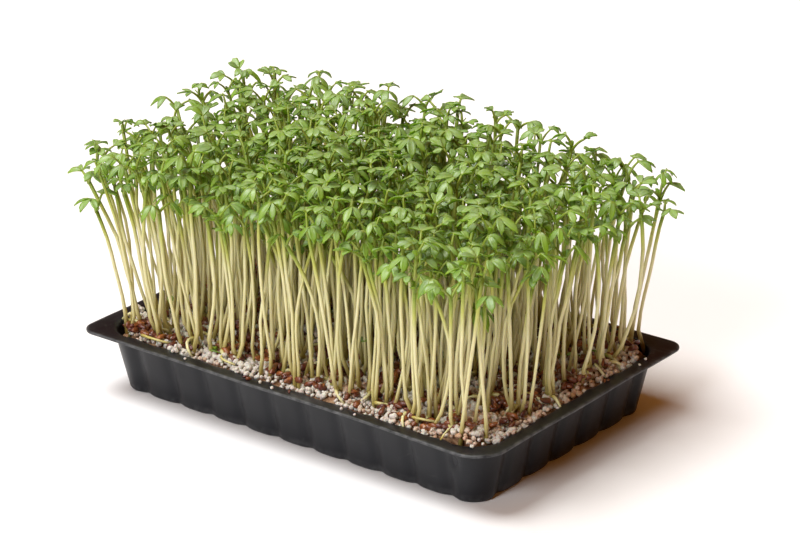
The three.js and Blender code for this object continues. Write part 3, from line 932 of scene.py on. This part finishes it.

# Growing medium: a dark bed, painted shade for the gaps, under loose granules

medium = {
    "bedHalfLength": 60.0, "bedHalfWidth": 38.0, "bedTop": -0.9, "bedColumns": 96, "bedRows": 60,
    "bedFloor": 1.2, "bedRound": (0.075, 0.11), "spread": (122, 78), "pearlStep": 1.16, "pearlJitter": 0.45,
    "pearl": (0.46, 0.84), "deep": 14, "deepShare": 0.3, "nodules": 520, "pearls": (3, 6), "fineCount": 1900,
    "fine": (0.28, 0.5), "seed": 4021, "bedColour": (0.16, 0.052, 0.016), "bedLight": (0.46, 0.28, 0.15),
    "parts": ("left", "middle_left", "middle_right", "right"),
    "white": (0.93, 0.865, 0.775), "pink": (0.87, 0.63, 0.47), "tan": (0.60, 0.33, 0.15),
    # heaps against the flange: place along X and Y, reach and height
    "heaps": [
        (56.8, 31.3, 3.6, 3.4), (56.8, 17.2, 3.2, 2.4), (56.9, 6.5, 2.8, 2.2), (52.6, -32.4, 6.0, 2.0),
        (54.4, -36.6, 3.2, 1.6), (-54.8, -37.0, 2.6, 1.6), (12.0, -35.0, 5.0, 1.0), (-20.0, -35.0, 4.0, 0.9),
    ],
}


def bedLevel(x, y):
    lumps = driftAt(x, y, 0.11, 7.3)
    heaped = sum(h * exp(-((x - a) ** 2 + (y - b) ** 2) / r ** 2) for a, b, r, h in medium["heaps"])
    edge = clamp((edgeReach(x, y) + 3.0) / 3.0)
    return surfaceLevel(x, y) + medium["bedTop"] + lumps + heaped - 0.7 * edge - 1.5 * cornerGap(x, y)


def cornerGap(x, y):
    # At all corners but the front one the granules stop short of the wall and lie lower
    return 0 if x > 0 and y < 0 else clamp((abs(x) - 50) / 6) * clamp((abs(y) - 28) / 6)


def buildBed():
    bm = emptyPiece()
    bmesh.ops.create_grid(bm, x_segments=medium["bedColumns"], y_segments=medium["bedRows"], size=1)
    for vert in bm.verts:
        a, b = vert.co.x, vert.co.y
        x = a * medium["bedHalfLength"] * sqrt(1 - medium["bedRound"][0] * b * b)
        y = b * medium["bedHalfWidth"] * sqrt(1 - medium["bedRound"][1] * a * a)
        rough = driftAt(x, y, 0.6, 1.7) * 0.5
        vert.co = Vector((x, y, bedLevel(x, y) + rough - 0.45)) * mm
    rim = [edge for edge in bm.edges if edge.is_boundary]
    for vert in vertsAmong(bmesh.ops.extrude_edge_only(bm, edges=rim)["geom"]):
        vert.co = Vector((vert.co.x * 0.93, vert.co.y * 0.9, medium["bedFloor"] * mm))
    bmesh.ops.contextual_create(bm, geom=[edge for edge in bm.edges if edge.is_boundary])
    bmesh.ops.recalc_face_normals(bm, faces=bm.faces)
    newPiece("medium_bed", bm, [bedMaterial()], ["growing_medium"])


def bedMaterial():
    # The bed's dark red-brown is painted shade, for the gaps between and under the granules
    material, tree = newMaterial("shade bed", {"Roughness": 0.75})
    return dress(material, {
        "Base Color": blend(tree, mottle(tree, 500.0), medium["bedColour"], medium["bedLight"]),
        "Normal": bumped(tree, mottle(tree, 1300.0, 0.2, 0.8), 0.0004),
    })


def grainTemplate():
    bm = bmesh.new()
    bmesh.ops.create_cube(bm, size=2)
    bmesh.ops.subdivide_edges(bm, edges=bm.edges, cuts=1, use_grid_fill=True)
    for vert in bm.verts:
        vert.co.normalize()
    return meshFrom("grain", bm)


grain = grainTemplate()


def stampGrain(bm, place, radius, draw, tone):
    spin, tip = between(draw, 0, 6.283), between(draw, 0, 3.14)
    turn = Matrix.Rotation(spin, 3, "Z") @ Matrix.Rotation(tip, 3, "X")
    squash = Vector((between(draw, 0.8, 1.15), between(draw, 0.8, 1.15), between(draw, 0.75, 1.0)))
    start = Vector((draw() * 50, draw() * 50, draw() * 50))

    def lumpy(point):
        swell = 1 + 0.42 * noise.noise(start + point * 1.3)
        shaped = Vector((point.x * squash.x, point.y * squash.y, point.z * squash.z)) * (radius * swell)
        return place + turn @ shaped
    stamp(bm, grain, lumpy, tone)


def grainTone(draw, x, y, fine=False):
    # Whiter near the walls and towards the left, pinkish and tan towards the right; the tan under the stems,
    # away from the walls, is painted shade
    drift = driftAt(x, y, 0.09, 11.0)
    inside = clamp((-edgeReach(x, y) - 7) / 8)
    warmth = clamp(0.34 + x / 330 + drift * 0.55 + 0.5 * inside + (0.12 if fine else 0))
    return (clamp(warmth + around(draw, 0.24)), draw(), draw(), 1)


def fitsMedium(x, y):
    # Short of the inner wall, but here and there granules have spilled over the flange's inner edge
    spill = driftAt(x, y, 0.13, 23.0) * 2.0
    return edgeReach(x, y) < -0.2 + spill - 1.8 * cornerGap(x, y)


def restingLevel(x, y):
    return max(bedLevel(x, y), tray["height"] - 0.3 if edgeReach(x, y) > -0.5 else 0)


def layPearls(draw, partAt):
    # Far from the walls the stems hide them, so they are fewer and larger there
    length, width = medium["spread"]
    columns, rows = int(length / medium["pearlStep"]), int(width / medium["pearlStep"])
    for row in range(rows + 1):
        for column in range(columns + 1):
            x = (column / columns - 0.5) * length + around(draw, medium["pearlJitter"])
            y = (row / rows - 0.5) * width + around(draw, medium["pearlJitter"])
            deep = edgeReach(x, y) < -medium["deep"]
            if not fitsMedium(x, y) or (deep and draw() > medium["deepShare"]):
                continue
            radius = mix(*medium["pearl"], draw() ** 1.4) * (1.5 if deep else 1)
            spot = Vector((x, y, restingLevel(x, y) + between(draw, 0.0, 0.75)))
            stampGrain(partAt(x), spot, radius, draw, grainTone(draw, x, y))


def scatteredSpot(draw):
    length, width = medium["spread"]
    return around(draw, length / 2), around(draw, width / 2)


def layNodules(draw, partAt):
    # A nodule is a clump of a few rounded pearls on top of the others
    for number in range(medium["nodules"]):
        x, y = scatteredSpot(draw)
        if not fitsMedium(x, y):
            continue
        tone = grainTone(draw, x, y)
        for pearl in range(int(between(draw, *medium["pearls"]))):
            radius, turn = mix(*medium["pearl"], draw()) * 1.15, draw() * 6.283
            away = 0 if pearl == 0 else between(draw, 0.6, 1.2)
            z = restingLevel(x, y) + between(draw, 0.6, 1.5)
            spot = Vector((x + away * cos(turn), y + away * sin(turn), z))
            own = (clamp(tone[0] * 0.6 + around(draw, 0.1)), draw(), draw(), 1)
            stampGrain(partAt(x), spot, radius, draw, own)


def buildGrains():
    draw, names = seededDraws(medium["seed"]), medium["parts"]
    parts, half = {name: emptyPiece() for name in names}, medium["bedHalfLength"]

    def partAt(x):
        return parts[names[int(clamp((x + half) / (2 * half), 0, 0.999) * len(names))]]

    layPearls(draw, partAt)
    layNodules(draw, partAt)
    for name, bm in parts.items():
        newPiece(f"granules_{name}", bm, [perliteMaterial])
    bm = emptyPiece()
    for number in range(medium["fineCount"]):
        x, y = scatteredSpot(draw)
        if not fitsMedium(x, y):
            continue
        radius = between(draw, *medium["fine"])
        spot = Vector((x, y, restingLevel(x, y) + between(draw, 0.7, 1.5)))
        stampGrain(bm, spot, radius, draw, grainTone(draw, x, y, fine=True))
    newPiece("fine_granules", bm, [perliteMaterial])


def grainMaterial():
    material, tree = newMaterial("perlite", {
        "Roughness": 0.85, "Subsurface Weight": 0.1, "Subsurface Scale": 0.001,
    })
    colour = rampColour(tree, toneParts(tree)["Red"], [
        (0.0, medium["white"]), (0.42, medium["white"]), (0.68, medium["pink"]), (1.0, medium["tan"]),
    ])
    stains = multiply(tree, mottle(tree, 900.0, 0.45, 0.7), 0.25)
    return dress(material, {
        "Base Color": blend(tree, stains, colour, medium["tan"]),
        "Normal": bumped(tree, mottle(tree, 3200.0, 0.3, 0.7), 0.00025),
    })


perliteMaterial = grainMaterial()
buildBed()
buildGrains()
print("growing medium built")

# Seed hulls

hulls = {
    "clusters": 8, "perCluster": 13, "loose": 2300, "half": (1.6, 0.92, 0.74), "seed": 5,
    "clusterSeeds": 7000, "looseSeed": 8080, "spread": (59, 37), "wallGap": 1.6,
    "bareSpot": (55, -36), "bareReach": 13,
    "maroon": (0.120, 0.020, 0.010), "orange": (0.42, 0.13, 0.03), "stain": (0.03, 0.006, 0.004),
}


def hullTemplate():
    bm = bmesh.new()
    bmesh.ops.create_uvsphere(bm, u_segments=8, v_segments=6, radius=1)
    bmesh.ops.rotate(bm, verts=bm.verts, cent=(0, 0, 0), matrix=Matrix.Rotation(pi / 2, 3, "Y"))
    for vert in bm.verts:  # blunt at one end, pointed at the other
        vert.co.y *= 1 - 0.3 * vert.co.x
        vert.co.z *= 1 - 0.3 * vert.co.x
    return meshFrom("hull", bm)


hull = hullTemplate()


def stampHull(bm, place, heading, tilt, size, draw):
    turn = Matrix.Rotation(heading, 3, "Z") @ Matrix.Rotation(tilt, 3, "Y")
    turn = turn @ Matrix.Rotation(draw() * 6.28, 3, "X")
    half = Vector(hulls["half"]) * size
    tone = (draw() ** 2.2, draw(), draw(), 1)
    split = between(draw, 0.0, 0.5)

    def shaped(point):
        crease = 1 - split * exp(-(atan2(point.y, point.z) / 0.5) ** 2)
        return place + turn @ Vector((point.x * half.x, point.y * half.y * crease, point.z * half.z * crease))
    stamp(bm, hull, shaped, tone)


def hullPlaces():
    draw = seededDraws(hulls["seed"])
    stride = len(sites) // hulls["clusters"]
    places = []
    for i in range(hulls["clusters"]):
        spot = i * stride + int(between(draw, 0, stride))
        if spot % stand["columns"] == stand["columns"] - 1:
            spot -= 1
        a, b = sites[spot], sites[spot + 1]
        places.append(((a[0] + b[0]) / 2, (a[1] + b[1]) / 2))
    return places


def buildHulls():
    for number, (x, y) in enumerate(hullPlaces(), 1):
        draw = seededDraws(hulls["clusterSeeds"] + number)
        bm = emptyPiece()
        for i in range(hulls["perCluster"]):
            spotX, spotY = x + around(draw, 1.3), y + (i / (hulls["perCluster"] - 1) - 0.5) * 5.6
            spot = Vector((spotX, spotY, surfaceLevel(x, y) + 0.75 + between(draw, 0, 1.1)))
            stampHull(bm, spot, around(draw, 0.9), around(draw, 0.3), 0.95, draw)
        newPiece(f"hull_cluster_{number}", bm, [hullSkin], [f"seed_hulls_{number}"])
    draw = seededDraws(hulls["looseSeed"])
    bm = emptyPiece()
    (halfLength, halfWidth), (bareX, bareY) = hulls["spread"], hulls["bareSpot"]
    for number in range(hulls["loose"]):
        x, y = around(draw, halfLength), around(draw, halfWidth)
        # they lie in drifts, with few by the front corner
        drift = driftAt(x, y, 0.12, 31.0) + 0.3 * draw()
        if edgeReach(x, y) > -hulls["wallGap"] or drift < 0.0:
            continue
        if hypot(x - bareX, y - bareY) < hulls["bareReach"] * draw() ** 0.5:
            continue
        spot = Vector((x, y, bedLevel(x, y) + between(draw, 1.1, 2.2)))
        stampHull(bm, spot, draw() * 6.28, around(draw, 0.5), between(draw, 0.75, 1.1), draw)
    newPiece("loose_hulls", bm, [hullSkin])


def hullMaterial():
    material, tree = newMaterial("seed hull", {
        "Roughness": 0.3, "Coat Weight": 0.35, "Coat Roughness": 0.18, "Specular IOR Level": 0.55,
    })
    colour = blend(tree, toneParts(tree)["Red"], hulls["maroon"], hulls["orange"])
    return dress(material, {
        "Base Color": blend(tree, multiply(tree, mottle(tree, 700.0), 0.5), colour, hulls["stain"]),
        "Normal": bumped(tree, mottle(tree, 2600.0, 0.3, 0.7), 0.0001, 0.6),
    })


hullSkin = hullMaterial()
buildHulls()
print("hulls built")

# What lies about on the granules and the flange

litter = {
    "seed": 1234,
    "leaves": [  # place, azimuth, size
        ((-27.1, -35.6, 18.6), 0.7, 1.0), ((-25.6, -35.0, 19.2), 2.4, 0.8), ((51.4, 19.7, 20.0), 0.2, 0.95),
        ((45.9, 14.4, 19.0), 2.9, 1.0), ((47.6, 15.0, 19.3), 1.2, 0.8), ((31.2, -9.8, 25.0), 4.4, 0.8),
        ((12.0, -20.0, 26.0), 3.6, 0.7), ((-44.0, -30.0, 27.0), 5.2, 0.7),
    ],
    "strands": [  # points of each, radius and how far along the stem colours
        ([(49.8, -40.4, 17.4), (49.7, -36.5, 19.1), (48.4, -31.0, 18.9), (45.9, -26.6, 18.3)], 0.24, 1.0),
        ([(-49.0, -36.6, 17.4), (-46.5, -38, 18), (-42.5, -38.3, 18.2), (-39.4, -36.2, 17.2)], 0.46, 0.12),
        ([(57.4, 4.6, 17.6), (58.4, 6.8, 18.8), (57.8, 9.4, 19.2), (55.2, 10.6, 18.4)], 0.44, 0.14),
        ([(-20.8, -33, 17.4), (-22.4, -36, 18.3), (-20.4, -38, 18.6), (-16.8, -37.6, 18)], 0.42, 0.15),
        ([(36.0, -34.0, 17.6), (38.6, -36.2, 18.6), (41.8, -36.0, 18.8), (43.6, -33.6, 17.8)], 0.42, 0.16),
    ],
    "grains": [  # place along X and Y, and radius
        (-1.4, -41.6, 0.5), (62.3, 28.5, 0.45), (63.0, 24.8, 0.35), (61.4, -8.5, 0.4), (-30.2, -41.2, 0.4),
        (24.5, -41.4, 0.35), (57.8, -38.6, 0.55), (20.0, -40.9, 0.5), (-6.0, -40.7, 0.45),
    ],
    "bits": [  # place along X and Y, and size
        (45.4, 40.9, 0.5), (47.0, 41.2, 0.6), (62.0, 12.4, 0.35), (61.7, 11.2, 0.45), (-9.5, -40.9, 0.5),
        (-11.0, -40.6, 0.4), (3.5, -40.8, 0.45),
    ],
}


def alongPoints(points):
    # A smooth curve through four points
    a, b, c, d = (Vector(point) for point in points)
    first, second = (-5 * a + 18 * b - 9 * c + 2 * d) / 6, (2 * a - 9 * b + 18 * c - 5 * d) / 6

    def centre(t):
        return a * (1 - t) ** 3 + first * 3 * t * (1 - t) ** 2 + second * 3 * t * t * (1 - t) + d * t ** 3
    return centre


def buildLitter():
    draw = seededDraws(litter["seed"])
    bm = emptyPiece()
    for place, azimuth, size in litter["leaves"]:
        leaf = {"azimuth": azimuth, "pitch": between(draw, -0.1, 0.3), "drop": 0.25, "size": size}
        stampBlade(bm, Vector(place), leaf, 0, draw, draw())
    for points, radius, ripeness in litter["strands"]:
        tone = (draw(), 0.0, draw(), 1)
        stampTube(bm, stemTemplate, alongPoints(points), lambda t: radius * (1 - 0.35 * t), tone, ripeness)
    newPiece("fallen_leaves_and_roots", bm, cressMaterials)
    bm = emptyPiece()
    for x, y, radius in litter["grains"]:
        tone = (0.2 * draw(), draw(), draw(), 1)
        stampGrain(bm, Vector((x, y, tray["height"] + radius * 0.7)), radius, draw, tone)
    newPiece("stray_grains", bm, [perliteMaterial])
    bm = emptyPiece()
    for x, y, size in litter["bits"]:
        stampHull(bm, Vector((x, y, tray["height"] + 0.35)), draw() * 6.28, 0.1, size, draw)
    newPiece("stray_hulls", bm, [hullSkin])


buildLitter()
print("litter built")
